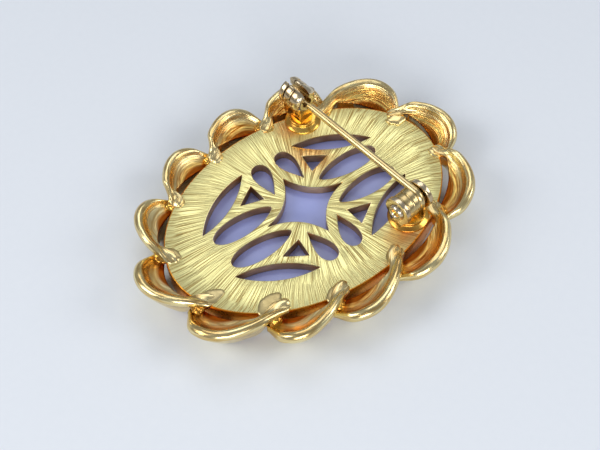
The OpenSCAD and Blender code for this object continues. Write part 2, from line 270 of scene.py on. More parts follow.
def makeEvenGilding(name, light, dark, rough, grain, strength):
    # light and dark mottle it, and grain is the size of its marks in mm
    material, tree, shader = newMaterial(name)
    place = addNode(tree, "ShaderNodeTexCoord").outputs["Object"]
    marks = addNode(tree, "ShaderNodeTexNoise", {
        "Vector": place, "Scale": 1 / mm / grain, "Detail": 3.0, "Roughness": 0.6}).outputs["Fac"]
    patches = addNode(tree, "ShaderNodeTexNoise", {
        "Vector": place, "Scale": 1 / mm / evenGilding["patch"], "Detail": 1.0}).outputs["Fac"]
    low, high = evenGilding["patches"]
    share = addNode(tree, "ShaderNodeMapRange", {0: patches, 1: low, 2: high}).outputs[0]
    colour = addNode(tree, "ShaderNodeMix", {
        0: share, 6: linear(light), 7: linear(dark)}, data_type="RGBA").outputs[2]
    low, high = evenGilding["marks"]
    glossy, dull = rough * evenGilding["glossy"], rough * evenGilding["dull"]
    gloss = addNode(tree, "ShaderNodeMapRange", {0: marks, 1: low, 2: high, 3: glossy, 4: dull}).outputs[0]
    bump = addNode(tree, "ShaderNodeBump", {
        "Height": marks, "Strength": strength, "Distance": evenGilding["depth"] * mm}).outputs[0]
    fillShader(tree, shader, {"Base Color": colour, "Roughness": gloss, "Normal": bump}, {"Metallic": 1})
    return material


# sizes in mm
glaze = {"body": linear("#858fcb"), "cloud": linear("#97a0d6"), "cloudSize": 7.143, "clouds": (0.3, 0.7),
         "rippleSize": 2.381, "rippleStrength": 0.06, "rippleDepth": 0.03, "rough": 0.3, "coat": 0.2,
         "coatRough": 0.05}


def makePorcelain():
    # glazed porcelain in lilac: an even body under a clear wet-looking glaze with a slight ripple
    material, tree, shader = newMaterial("porcelain, lilac glaze")
    place = addNode(tree, "ShaderNodeTexCoord").outputs["Object"]
    cloud = addNode(tree, "ShaderNodeTexNoise", {
        "Vector": place, "Scale": 1 / mm / glaze["cloudSize"], "Detail": 3.0}).outputs["Fac"]
    low, high = glaze["clouds"]
    share = addNode(tree, "ShaderNodeMapRange", {0: cloud, 1: low, 2: high}).outputs[0]
    colour = addNode(tree, "ShaderNodeMix", {
        0: share, 6: glaze["body"], 7: glaze["cloud"]}, data_type="RGBA").outputs[2]
    ripple = addNode(tree, "ShaderNodeTexNoise", {
        "Vector": place, "Scale": 1 / mm / glaze["rippleSize"], "Detail": 1.0}).outputs["Fac"]
    bump = addNode(tree, "ShaderNodeBump", {
        "Height": ripple, "Strength": glaze["rippleStrength"],
        "Distance": glaze["rippleDepth"] * mm}).outputs[0]
    fillShader(tree, shader, {"Base Color": colour, "Normal": bump},
               {"Roughness": glaze["rough"], "IOR": 1.5, "Coat Weight": glaze["coat"],
                "Coat Roughness": glaze["coatRough"]})
    return material


engraved = makeEngravedGilding()
scrollGilding = makeScrollGilding()
# left as cast on the walls of the plate's holes: matt, and darker and browner as painted shade in the holes
shadedWallGilding = makeEvenGilding("gilding, as cast, painted shade", "#d2b08a", "#a07a56", 0.42, 0.5, 0.5)
# the bezel's wall and the plate's rim: a deep orange gold, painted reflection of the gold round them
reflectedSideGilding = makeEvenGilding("gilding, bezel wall, painted reflection", "#ffae3c", "#f28a20", 0.3, 0.8, 0.4)
# turned and polished: pale, with clear reflections
findingGilding = makeEvenGilding("gilding, polished finding", "#dccdae", "#b89d74", 0.2, 0.9, 0.15)
# polished, but darker and warmer: painted shade, on the feet, saddle and seams under other parts and in the
# rivet's pit
shadedUnderGilding = makeEvenGilding("gilding, drum foot, painted shade", "#efbf5c", "#b9762c", 0.22, 0.7, 0.35)
# run and set: pale and bright, with a lumpy skin
solder = makeEvenGilding("gold solder, bright", "#f4e2a6", "#e3c27a", 0.26, 0.3, 0.7)
# pressed flat and wiped: satin and a little grey
tailGilding = makeEvenGilding("gilding, satin tail", "#c4b382", "#a48f5c", 0.36, 0.3, 0.6)
# drawn through a die: pale and even
pinWire = makeEvenGilding("drawn wire, pale gilding", "#d0bb88", "#c2a873", 0.25, 1.2, 0.03)
# rubbed down with a burnisher: the brightest lines on the piece
edgeGilding = makeEvenGilding("gilding, burnished edge", "#f6e6b4", "#ecd08a", 0.16, 0.6, 0.15)
porcelain = makePorcelain()
print("materials ready")


def ringEdges(bm, loop):
    return [bm.edges.get((loop[i - 1], loop[i])) for i in range(len(loop))]


def loft(bm, rings, closed=False, capFirst=False, capLast=False):
    # a circle pulled into the first ring, then extruded and pulled into each of the others
    circle = bmesh.ops.create_circle(bm, segments=len(rings[0]), radius=1)["verts"]
    for vert, p in zip(circle, rings[0]):
        vert.co = p
    around = ringEdges(bm, circle)
    loops = [circle]
    for ring in rings[1:]:
        made = bmesh.ops.extrude_edge_only(bm, edges=around)["geom"]
        fresh = {g for g in made if isinstance(g, bmesh.types.BMVert)}
        around = [g for g in made if isinstance(g, bmesh.types.BMEdge)]
        loops.append([next(e.other_vert(v) for e in v.link_edges if e.other_vert(v) in fresh)
                      for v in loops[-1]])
        for vert, p in zip(loops[-1], ring):
            vert.co = p
    if closed:
        bmesh.ops.bridge_loops(bm, edges=ringEdges(bm, circle) + around)
    for cap, loop in ((capFirst, loops[0]), (capLast, loops[-1])):
        if cap:
            bmesh.ops.contextual_create(bm, geom=loop)
    return loops


def turned(bm, profile, place, rounding=0.0, steps=72, close=False):
    # a profile of (radius, height) points turned about the place's Z axis, with its corners rounded first
    verts = [bm.verts.new((r, 0, h)) for r, h in profile]
    pairs = list(zip(verts, verts[1:])) + ([(verts[-1], verts[0])] if close else [])
    for pair in pairs:
        bm.edges.new(pair)
    before = set(bm.verts) - set(verts)
    if rounding:
        corners = [v for v in verts if len(v.link_edges) == 2 and v.co.x > 0.01]
        bmesh.ops.bevel(bm, geom=corners, offset=rounding, affect="VERTICES", segments=4, profile=0.5,
                        material=-1)
    own = [v for v in bm.verts if v not in before]
    ownEdges = list({e for v in own for e in v.link_edges})
    bmesh.ops.spin(bm, geom=own + ownEdges, cent=(0, 0, 0), axis=(0, 0, 1), angle=2 * math.pi, steps=steps,
                   use_merge=True)
    made = [v for v in bm.verts if v not in before]
    bmesh.ops.remove_doubles(bm, verts=made, dist=0.001)
    made = [v for v in bm.verts if v not in before]
    bmesh.ops.transform(bm, matrix=place, verts=made)


def carved(bm, cutter):
    # what is left of one closed shape when another is cut out of it
    pair = []
    for shape in (bm, cutter):
        bmesh.ops.recalc_face_normals(shape, faces=shape.faces[:])
        mesh = bpy.data.meshes.new("carving")
        shape.to_mesh(mesh)
        shape.free()
        pair.append(bpy.data.objects.new("carving", mesh))
        bpy.context.collection.objects.link(pair[-1])
    cut = pair[0].modifiers.new("cut", "BOOLEAN")
    cut.operation = "DIFFERENCE"
    cut.solver = "EXACT"
    cut.object = pair[1]
    bpy.context.view_layer.update()
    left = bmesh.new()
    left.from_object(pair[0], bpy.context.evaluated_depsgraph_get())
    for thing in pair:
        mesh = thing.data
        bpy.data.objects.remove(thing)
        bpy.data.meshes.remove(mesh)
    return left


# the plate, in mm: its holes are drawn in the first quarter and mirrored, petals from point to round end
plate = {"halfWidth": 15.5, "halfLength": 22.0, "back": 5.0, "thick": 1.5, "steps": 26, "ovalSteps": 240,
         "edge": 0.1, "outerEdge": 0.18, "edgeBend": 0.3, "rim": 0.97,
         "star": (5.67, 6.6), "starPull": 1.25,
         "leaf": ((9.85, 4.5), (4.2, 14.9)), "leafBulge": -1.3,
         "shortPetal": ((4.1, 2.6), (9.95, 1.9), 2.75, 0.7),
         "longPetal": ((2.5, 4.3), (2.3, 14.15), 3.45, 0.58),
         "triangle": ((4.35, 4.3), (7.35, 4.6), (5.35, 7.7)), "triangleSteps": 4}


def edgePoint(turn, out):
    # a point outside the plate's edge, by its angle on the oval in degrees
    turn = math.radians(turn)
    nx = math.cos(turn) / plate["halfWidth"]
    ny = math.sin(turn) / plate["halfLength"]
    n = math.hypot(nx, ny)
    return Vector((plate["halfWidth"] * math.cos(turn) + out * nx / n,
                   plate["halfLength"] * math.sin(turn) + out * ny / n))


def oval(out, z):
    return [edgePoint(360 * i / plate["ovalSteps"], out).to_3d() + Vector((0, 0, z))
            for i in range(plate["ovalSteps"])]


def bowed(a, b, bulge, steps):
    # points from a up to b, not b itself, on a line bowed to its left by bulge
    a, b = Vector(a), Vector(b)
    side = Vector((-(b - a).y, (b - a).x)).normalized()
    return [a.lerp(b, i / steps) + side * bulge * 4 * (i / steps) * (1 - i / steps) for i in range(steps)]


def petal(a, b, width, fullest):
    # pointed where it starts and round where it ends
    a, b = Vector(a), Vector(b)
    across = Vector((-(b - a).y, (b - a).x)).normalized() * width / 2
    sharp = fullest / (1 - fullest) / 2
    peak = fullest ** sharp * math.sqrt(1 - fullest)
    places = [(1 - math.cos(math.pi * i / plate["steps"])) / 2 for i in range(plate["steps"] + 1)]
    half = [s ** sharp * math.sqrt(max(0, 1 - s)) / peak for s in places]
    one = [a.lerp(b, s) - across * h for s, h in zip(places, half)]
    other = [a.lerp(b, s) + across * h for s, h in zip(places, half)]
    return one + other[-2:0:-1]


def polygon(corners, bulge, steps):
    count = len(corners)
    return [p for i in range(count) for p in bowed(corners[i], corners[(i + 1) % count], bulge, steps)]


def piercedOutlines():
    x, y = plate["star"]
    outlines = [polygon([(x, 0), (0, y), (-x, 0), (0, -y)], plate["starPull"], plate["steps"])]
    quarter = [polygon(plate["leaf"], plate["leafBulge"], plate["steps"]),
               petal(*plate["shortPetal"]), petal(*plate["longPetal"]),
               polygon(plate["triangle"], 0, plate["triangleSteps"])]
    for shape in quarter:
        for sx, sy in ((1, 1), (-1, 1), (-1, -1), (1, -1)):
            outlines.append([Vector((p.x * sx, p.y * sy)) for p in (shape if sx * sy > 0 else shape[::-1])])
    return outlines


def grown(outline, by):
    # the outline moved outwards, with its sharp tips moved no more than twice as far
    count = len(outline)
    area = sum(outline[i - 1].x * outline[i].y - outline[i].x * outline[i - 1].y for i in range(count))
    moved = []
    for i, p in enumerate(outline):
        before, after = p - outline[i - 1], outline[(i + 1) % count] - p
        a, b = (Vector((d.y, -d.x)).normalized() for d in (before, after))
        out = (a + b).normalized() if (a + b).length > 0.01 else before.normalized()
        moved.append(p + out * by / max(0.5, out.dot(a)) * (1 if area > 0 else -1))
    return moved


def brokenEdge(size):
    # how far the outline is moved at each height, for an edge rounded off by size and its upright wall
    top, low, bend = plate["back"], plate["back"] - plate["thick"], size * plate["edgeBend"]
    return (size, top), (bend, top - bend), (0, top - size), (0, low)


def makePlate():
    bm = bmesh.new()
    shapes = [[[p.to_3d() + Vector((0, 0, z)) for p in grown(outline, by)]
               for by, z in brokenEdge(plate["edge"])] for outline in piercedOutlines()]
    shapes.append([oval(-by, z) for by, z in brokenEdge(plate["outerEdge"])])
    rims, feet = [], []
    for rings in shapes:
        loops = loft(bm, rings)
        rims += ringEdges(bm, loops[0])
        feet += ringEdges(bm, loops[-1])
    finishes = [engraved, shadedWallGilding, edgeGilding, reflectedSideGilding]
    for face in bm.faces:
        x, y, z = face.calc_center_median()
        # the plate's rim takes the orange gilding, a painted reflection
        if (x / plate["halfWidth"]) ** 2 + (y / plate["halfLength"]) ** 2 > plate["rim"]:
            finish = reflectedSideGilding
        else:
            # the holes' walls take the darker gilding, painted shade
            finish = shadedWallGilding if z < plate["back"] - plate["outerEdge"] else edgeGilding
        face.material_index = finishes.index(finish)
    # the two flat sides keep the first finish
    bmesh.ops.triangle_fill(bm, edges=rims, use_beauty=True, normal=(0, 0, 1))
    bmesh.ops.triangle_fill(bm, edges=feet, use_beauty=True, normal=(0, 0, -1))
    finishPiece("back_plate", bm, finishes, "body", ["setting"], sharpAt=30)


makePlate()
print("plate pierced")


# the bezel, in mm: the wall under the plate, and its lip over the porcelain's front edge
bezel = {"low": 1.1, "wall": 0.9, "inset": 0.02, "edge": 0.25, "edgeBend": 0.32, "lip": 0.7, "lipThick": 0.6,
         "lipEdge": 0.15, "burnished": 1.3}


def makeBezel():
    low, inset, edge, lipEdge = (bezel[k] for k in ("low", "inset", "edge", "lipEdge"))
    join = plate["back"] - plate["thick"] + inset
    bend = edge * bezel["edgeBend"]
    lipOut = -bezel["wall"] - bezel["lip"]
    lipTop = low + bezel["lipThick"]
    rows = [(-inset, join), (-inset, low + edge), (-inset - bend, low + bend), (-inset - edge, low),
            (lipOut + lipEdge, low), (lipOut, low + lipEdge), (lipOut, lipTop), (-bezel["wall"], lipTop),
            (-bezel["wall"], join)]
    bm = bmesh.new()
    loft(bm, [oval(out, z) for out, z in rows], closed=True)
    # the lip in front is burnished over the porcelain's edge
    for face in bm.faces:
        face.material_index = int(face.calc_center_median().z < bezel["burnished"])
    # the rest of the bezel takes the orange gilding, a painted reflection
    finishPiece("bezel", bm, [reflectedSideGilding, edgeGilding], "body", ["setting"])


makeBezel()
print("bezel made")


# the border: twelve scrolls, each from under its neighbour's bar to a tail soldered on the plate
scroll = {"starts": [8, 39, 75, 110, 143, 169, 194, 220, 248, 284, 318, 342],
          "reach": [1.01, 0.93, 0.91, 1.04, 1.07, 1.05, 0.99, 0.95, 0.97, 1.01, 1, 1.01],
          # how far the buff reached over each bar into its hollow, and so where the hollow's painted
          # reflection begins
          "buffed": [1.5, 1.3, 1.1, 0.8, 1.05, 1.25, 1.5, 2.4, 2.6, 2.3, 2.2, 1.7],
          # how many degrees early a tail ends and how many mm out it stays, on the brooch's upper side
          "early": [4, 5.5, 5.5, 3, 5.5, 6, 5.5, 0, 0, 0, 0, 0],
          "aside": [0.6, 0.9, 0.9, 0.4, 0.9, 1.0, 1.0, 0, 0, 0, 0, 0], "asideFrom": 0.6,
          # the rounding at a tail's end, as mm ahead and share of the last section
          "tailEnd": ((0.3, 0.92), (0.55, 0.76), (0.75, 0.5), (0.84, 0.22)),
          "overlap": 8, "stations": 72, "steps": 12,
          "arcStep": 10, "lipArc": (220, 100), "barArc": (130, -60),
          # the hollow's curve: reach and depth of its handle at the lip, then at the bar
          "lipHandle": (0.3, 0.9), "barHandle": (0.35, 0.3), "underPull": 0.3, "uvShift": 20,
          # mm at each eighth of the run: bar out and up, lip out and up, lowest, hollow, their two radii
          "rows": [(1.3, -1.7, 0.25, -2.0, -2.8, 0.05, 0.45, 0.25),
                   (3.35, -0.5, 0.5, -1.6, -4.0, 0.3, 0.72, 0.28),
                   (4.15, 0.25, 0.85, -1.15, -4.9, 0.45, 0.8, 0.28),
                   (4.25, 0.55, 1.1, -0.8, -4.9, 0.45, 0.82, 0.28),
                   (3.8, 0.7, 1.25, -0.45, -4.3, 0.4, 0.82, 0.28),
                   (2.95, 0.8, 1.2, -0.05, -3.5, 0.25, 0.8, 0.3),
                   (1.95, 0.8, 0.8, 0.2, -2.9, 0.1, 0.75, 0.33),
                   (0.8, 0.5, -1.2, 0.05, -1.5, -0.1, 0.6, 0.3),
                   (-0.1, -0.1, -1.9, -0.15, -0.9, -0.6, 0.4, 0.25)]}


def nextStart(index):
    # the angle on the oval at which the scroll after this one starts
    return scroll["starts"][(index + 1) % len(scroll["starts"])]


def rowAt(place):
    # the rows joined by a smooth curve that passes through each of them
    rows = scroll["rows"]
    p = place * (len(rows) - 1)
    i = min(int(p), len(rows) - 2)
    t = p - i
    a, b, c, d = (Vector(rows[max(0, min(len(rows) - 1, i + k))]) for k in (-1, 0, 1, 2))
    return (2 * b + (c - a) * t + (2 * a - 5 * b + 4 * c - d) * t * t + (3 * b - a - 3 * c + d) * t ** 3) / 2


def curved(a, b, c, d, steps):
    # the points between the ends of one bezier curve
    return [(1 - t) ** 3 * a + 3 * t * (1 - t) ** 2 * b + 3 * t * t * (1 - t) * c + t ** 3 * d
            for t in (i / steps for i in range(1, steps))]


def scrollSection(row):
    # round the lip, up the hollow, over the bar, and down and back under the scroll
    bar, lip = Vector((row[0], row[1])), Vector((row[2], row[3]))
    low, hollow, barRadius, lipRadius = row[4:]
    along = (bar - lip).normalized()
    over = Vector((-along.y, along.x))

    def about(middle, radius, angle):
        angle = math.radians(angle)
        return middle + radius * (math.cos(angle) * along + math.sin(angle) * over)

    def arc(middle, radius, ends):
        return [about(middle, radius, a) for a in range(ends[0], ends[1] - 1, -scroll["arcStep"])]

    lipArc = arc(lip, lipRadius, scroll["lipArc"])
    barArc = arc(bar, barRadius, scroll["barArc"])
    start, end = lipArc[-1], barArc[0]
    gap = (end - start).length
    falling = about(Vector((0, 0)), 1, scroll["lipArc"][0])
    lipReach, lipDepth = scroll["lipHandle"]
    barReach, barDepth = scroll["barHandle"]
    dish = curved(start, start + along * gap * lipReach - over * hollow * lipDepth,
                  end + falling * gap * barReach - over * hollow * barDepth, end, scroll["steps"])
    start, end = barArc[-1], lipArc[0]
    level = (start.y + end.y) / 2
    # a bezier curve comes three quarters of the way down to its handles
    level -= max(level - low, 0.05) / 0.75
    inward = mix(end.x, start.x, scroll["underPull"])
    under = curved(start, Vector((inward, level)), Vector((end.x, level)), end, scroll["steps"])
    # the bar's crest is two fifths of the way round it
    return lipArc + dish + barArc + under, len(lipArc + dish) + len(barArc) * 2 // 5


def makeScroll(index):
    first, last = scroll["starts"][index], nextStart(index) + scroll["overlap"]
    if last < first:
        last += 360
    rings, across = [], []
    for s in range(scroll["stations"] + 1):
        place = s / scroll["stations"]
        section, crest = scrollSection(rowAt(place))
        ending = smoothStep(scroll["asideFrom"], 1, place)
        turn = mix(first, last, place) - scroll["early"][index] * ending
        aside = scroll["aside"][index] * ending
        rings.append([edgePoint(turn, p.x * scroll["reach"][index] + aside).to_3d()
                      + Vector((0, 0, plate["back"] + p.y)) for p in section])
        gone = [0.0]
        for a, b in zip(section, section[1:] + section[:1]):
            gone.append(gone[-1] + (b - a).length)
        across.append([gone[crest] - g for g in gone])
    # the tail's end is rounded off
    centre = sum(rings[-1], Vector()) / len(rings[-1])
    onward = (centre - sum(rings[-3], Vector()) / len(rings[-1])).normalized()
    for ahead, share in scroll["tailEnd"]:
        rings.append([centre.lerp(p, share) + onward * ahead for p in rings[scroll["stations"]]])
        across.append(across[-1])
    length = [0.0]
    for a, b in zip(rings, rings[1:]):
        length.append(length[-1] + (b[crest] - a[crest]).length)
    bm = bmesh.new()
    loops = loft(bm, rings, capFirst=True, capLast=True)
    count = len(rings[0])
    spot = {v: (s, i) for s, loop in enumerate(loops) for i, v in enumerate(loop)}
    run, hollow = bm.loops.layers.uv.new("run"), bm.loops.layers.uv.new("hollow")
    for face in bm.faces:
        # the faces that close the section run on to its full length instead of back to its start
        closing = {spot[v][1] for v in face.verts} == {0, count - 1}
        for corner in face.loops:
            s, i = spot[corner.vert]
            far = across[s][count if closing and i == 0 else i]
            corner[run].uv = (length[s] + index * scroll["uvShift"], far / scroll["buffed"][index])
            corner[hollow].uv = (far, scroll["buffed"][index])
    finishPiece(f"scroll_{index + 1}", bm, [scrollGilding], "body", ["setting"], sharpAt=60)


for index in range(len(scroll["starts"])):
    makeScroll(index)
print("border of scrolls made")


# a tail ends in a flattened pad on the brooch's lower side, and in a blob of bright solder on the upper:
# degrees past the next scroll's start, mm out from the plate's edge, length, width, height, bright
tail = {"pads": [(4, -0.9, 1.0, 0.8, 0.25, True), (0, -0.6, 1.1, 0.8, 0.25, True),
                 (-1, -0.8, 1.6, 1.2, 0.35, True), (3, -0.6, 1.1, 0.7, 0.2, True),
                 (1.5, -0.5, 0.9, 0.6, 0.2, True), (2, -0.6, 0.85, 0.65, 0.22, True),
                 (2, -0.6, 0.8, 0.6, 0.2, True), (5, -1.1, 1.5, 0.9, 0.25, False),
                 (7, -1.3, 2.1, 1.2, 0.25, False), (2, -1.4, 2.2, 1.5, 0.25, False),
                 (3.8, -0.6, 1.7, 1.0, 0.25, False), (5, -0.8, 1.8, 1.0, 0.25, False)],
        "comesFrom": (4, 0.4), "narrowing": 0.35, "lumpy": 0.3, "even": 0.12, "wave": 0.9, "proud": 0.02}
# the lump of solder where a scroll starts under its neighbour's bar
seam = {"past": 3.5, "out": 0.55, "down": 0.95, "flat": 0.8, "wave": 1.7, "lumps": 0.3, "fineLumps": 0.12}


def makePad(index):
    past, out, long, wide, high, bright = tail["pads"][index]
    turn = nextStart(index) + past
    behind, backOut = tail["comesFrom"]
    at = edgePoint(turn, out)
    back = edgePoint(turn - behind, backOut)
    heading = math.atan2((at - back).y, (at - back).x)
    uneven = tail["lumpy"] if bright else tail["even"]
    bm = bmesh.new()
    bmesh.ops.create_uvsphere(bm, u_segments=32, v_segments=12, radius=1)
    bmesh.ops.scale(bm, vec=(long, wide, high), verts=bm.verts[:])
    for v in bm.verts:
        seed = Vector((index * 3.1, v.co.x * tail["wave"], v.co.y * tail["wave"]))
        # the tongue narrows towards its tip
        v.co.y *= 1 - tail["narrowing"] * smoothStep(0, long, v.co.x)
        v.co.x += noise.noise(seed) * uneven
        v.co.y += noise.noise(seed + Vector((5, 0, 0))) * uneven
    place = (Matrix.Translation((at.x, at.y, plate["back"] + tail["proud"]))
             @ Matrix.Rotation(heading, 4, "Z"))
    bmesh.ops.transform(bm, matrix=place, verts=bm.verts[:])
    finishPiece(f"tail_pad_{index + 1}", bm, [solder if bright else tailGilding], "body",
                ["setting"], sharpAt=80)


def makeSeam(index):
    at = edgePoint(nextStart(index) + seam["past"], seam["out"])
    bm = bmesh.new()
    bmesh.ops.create_icosphere(bm, subdivisions=4, radius=1)
    for v in bm.verts:
        seed = v.co * seam["wave"] + Vector((index * 4.3, 0, 0))
        v.co *= 1 + seam["lumps"] * noise.noise(seed) + seam["fineLumps"] * noise.noise(seed * 3)
    bmesh.ops.scale(bm, vec=(1.0, 1.0, seam["flat"]), verts=bm.verts[:])
    bmesh.ops.translate(bm, vec=(at.x, at.y, plate["back"] - seam["down"]), verts=bm.verts[:])
    # the seam, under its neighbour's bar, takes the darker gilding: painted shade
    finishPiece(f"seam_{index + 1}", bm, [shadedUnderGilding], "body", ["setting"], sharpAt=80)


for index in range(len(scroll["starts"])):
    makePad(index)
    makeSeam(index)
print("tails soldered")


# the porcelain, in mm: a flat back behind the plate, a flange in the bezel and a low dome in front
plaque = {"back": 3.43, "shoulder": 1.8, "flange": -1.0, "dome": -1.72, "front": 0.2, "domeRadius": 100.0,
          "edge": 0.15, "edgeBend": 0.04, "turnsUp": 0.95, "lift": 0.35,
          "domeRings": (1, 0.985, 0.95, 0.9, 0.8, 0.7, 0.6, 0.5, 0.4, 0.3, 0.2, 0.1, 0.02)}


def makePlaque():
    def shrunk(share, out, z):
        return [Vector((p.x * share, p.y * share, z)) for p in oval(out, 0)]

    def domeHeight(p):
        return plaque["front"] + (p.x ** 2 + p.y ** 2) / (2 * plaque["domeRadius"])

    back, flange, edge, bend = (plaque[k] for k in ("back", "flange", "edge", "edgeBend"))
    rings = [shrunk(s, flange - edge, back) for s in (0.02, 0.5)]
    rings += [oval(flange - edge, back), oval(flange - bend, back - bend), oval(flange, back - edge),
              oval(flange, plaque["shoulder"]), oval(plaque["dome"], plaque["shoulder"])]
    for share in plaque["domeRings"]:
        # the outermost part of the dome turns up towards the flange
        lift = plaque["lift"] * max(0, (share - plaque["turnsUp"]) / (1 - plaque["turnsUp"])) ** 2
        rings.append([Vector((p.x, p.y, domeHeight(p) + lift)) for p in shrunk(share, plaque["dome"], 0)])
    bm = bmesh.new()
    loft(bm, rings, capFirst=True, capLast=True)
    finishPiece("porcelain", bm, [porcelain], "body", ["porcelain_plaque"], sharpAt=50)


makePlaque()
print("porcelain set")


# the findings stand on the pin's line, which is turned from the plate's short axis; all in mm
finding = {"skew": 7.7, "pinOff": 10.3, "wire": 1.1, "play": 0.03, "footSunk": 0.15}
hinge = {"x": 11.6, "z": 8.4,
         "earRadius": 2.2, "earThick": 0.8, "earNear": 6.63, "earFar": 10.93, "earEdge": 0.16,
         "legWide": 1.5, "legLow": 0.3, "legHigh": 1.3, "legInset": 0.02, "legEdge": 0.14, "legFoot": 0.62,
         "foot": 3.0, "drum": 2.3, "drumHigh": 1.25,
         "rivet": 0.75, "headRadius": 1.3, "headHigh": 0.5, "pit": 0.46,
         # the rivet's heads, as shares of their radius and height
         "dome": [(0.0, 1.0), (0.25, 0.98), (0.5, 0.9), (0.7, 0.75), (0.86, 0.52), (0.97, 0.22), (1.0, 0.0)],
         "flare": [(0.0, -0.9), (0.22, -0.8), (0.38, -0.3), (0.46, 0.45), (0.54, 0.82), (0.64, 0.98),
                   (0.74, 0.96), (0.86, 0.75), (0.96, 0.38), (1.0, 0.0)]}
skewed = Matrix.Rotation(math.radians(finding["skew"]), 4, "Z")


def hingeAxis(y):
    # the place of a turned shape whose Z runs along the hinge
    return skewed @ Matrix.Translation((hinge["x"], y, hinge["z"])) @ Matrix.Rotation(-math.pi / 2, 4, "X")


def standing(x, y, z):
    return skewed @ Matrix.Translation((x, y, z))


def box(bm, low, high, place, rounding):
    made = bmesh.ops.create_cube(bm, size=1)["verts"]
    bmesh.ops.scale(bm, vec=Vector(high) - Vector(low), verts=made)
    bmesh.ops.translate(bm, vec=(Vector(low) + Vector(high)) / 2, verts=made)
    edges = list({e for v in made for e in v.link_edges})
    before = set(bm.verts) - set(made)
    if rounding:
        bmesh.ops.bevel(bm, geom=edges, offset=rounding, affect="EDGES", segments=3, profile=0.5, material=-1)
    bmesh.ops.transform(bm, matrix=place, verts=[v for v in bm.verts if v not in before])


def drumFoot(bm, radius, waist, high, place):
    # a drum on a soldered flange, hollow on its side, with a raised ring round its top
    low = -finding["footSunk"]
    turned(bm, [(0, low), (radius, low), (radius, 0.22), (radius - 0.35, 0.42), (waist, 0.62),
                (waist, high - 0.3), (waist + 0.18, high - 0.18), (waist + 0.12, high),
                (waist - 0.35, high + 0.02), (0, high - 0.1)], place, rounding=0.09)


def makeHingeBracket():
    thick, radius, hole = hinge["earThick"], hinge["earRadius"], hinge["rivet"] + finding["play"]
    middle = (hinge["earNear"] + hinge["earFar"] + thick) / 2
    bm = bmesh.new()
    drumFoot(bm, hinge["foot"], hinge["drum"], hinge["drumHigh"], standing(hinge["x"], middle, plate["back"]))
    finishPiece("hinge_foot", bm, [shadedUnderGilding], "body", ["setting"])
    wide, inset = hinge["legWide"], hinge["legInset"]
    legLow, legHigh = plate["back"] + hinge["legLow"], hinge["z"] - hinge["legHigh"]
    for name, y in (("near", hinge["earNear"]), ("far", hinge["earFar"])):
        bm = bmesh.new()
        turned(bm, [(hole, 0), (radius, 0), (radius, thick), (hole, thick)], hingeAxis(y),
               rounding=hinge["earEdge"], close=True)
        before = set(bm.verts)
        box(bm, (-wide, inset, legLow), (wide, thick - inset, legHigh), Matrix(), hinge["legEdge"])
        leg = [v for v in bm.verts if v not in before]
        # the leg narrows down to its foot
        for v in leg:
            v.co.x *= mix(hinge["legFoot"], 1, smoothStep(legLow, legHigh, v.co.z))
        bmesh.ops.transform(bm, matrix=standing(hinge["x"], y, 0), verts=leg)
        finishPiece(f"hinge_ear_{name}", bm, [findingGilding], "body", ["setting"])


def makeRivet():
    # a domed head at the far end, and the near end flared over round a pit
    place = hingeAxis(hinge["earNear"])
    grip = hinge["earFar"] + hinge["earThick"] - hinge["earNear"]
    r, h, shank, play = hinge["headRadius"], hinge["headHigh"], hinge["rivet"], finding["play"]
    bm = bmesh.new()
    turned(bm, [(r * a, -play - h * b) for a, b in hinge["flare"]] + [(shank, -play), (shank, grip + play)]
           + [(r * a, grip + play + h * b) for a, b in hinge["dome"][::-1]], place)
    inward = place.inverted()
    # the pit at the flared end takes the darker gilding: painted shade
    for face in bm.faces:
        middle = inward @ face.calc_center_median()
        face.material_index = int(middle.z < 1 and math.hypot(middle.x, middle.y) < r * hinge["pit"])
    finishPiece("rivet", bm, [findingGilding, shadedUnderGilding], "body", ["hinge_rivet"],
                sharpAt=50)


# the pin, in mm: its coil lies on the hinge's axis, its neck runs out of it and its taper ends at the tip
pin = {"coilRadius": 1.4, "coilWire": 1.16, "pitch": 1.12, "turns": 2.5, "pitchTurns": 2, "steps": 120,
       "around": 28, "roundness": 2, "flatness": 5, "flattens": (0.65, 1), "neck": 2.6, "tip": -14.45,
       "taper": 6.0, "midTaper": (0.55, 0.66), "nearPoint": (0.5, 0.27),
       "point": ((0, 0.11), (-0.06, 0.07), (-0.09, 0.02))}


def coilPlace(angle):
    # the middle of the wire, by the angle it has turned back from where it leaves the coil
    falls = min(angle, pin["pitchTurns"] * 2 * math.pi)
    return Vector((pin["coilRadius"] * math.sin(angle), -pin["coilRadius"] * math.cos(angle),
                   finding["pinOff"] - pin["pitch"] * falls / (2 * math.pi)))


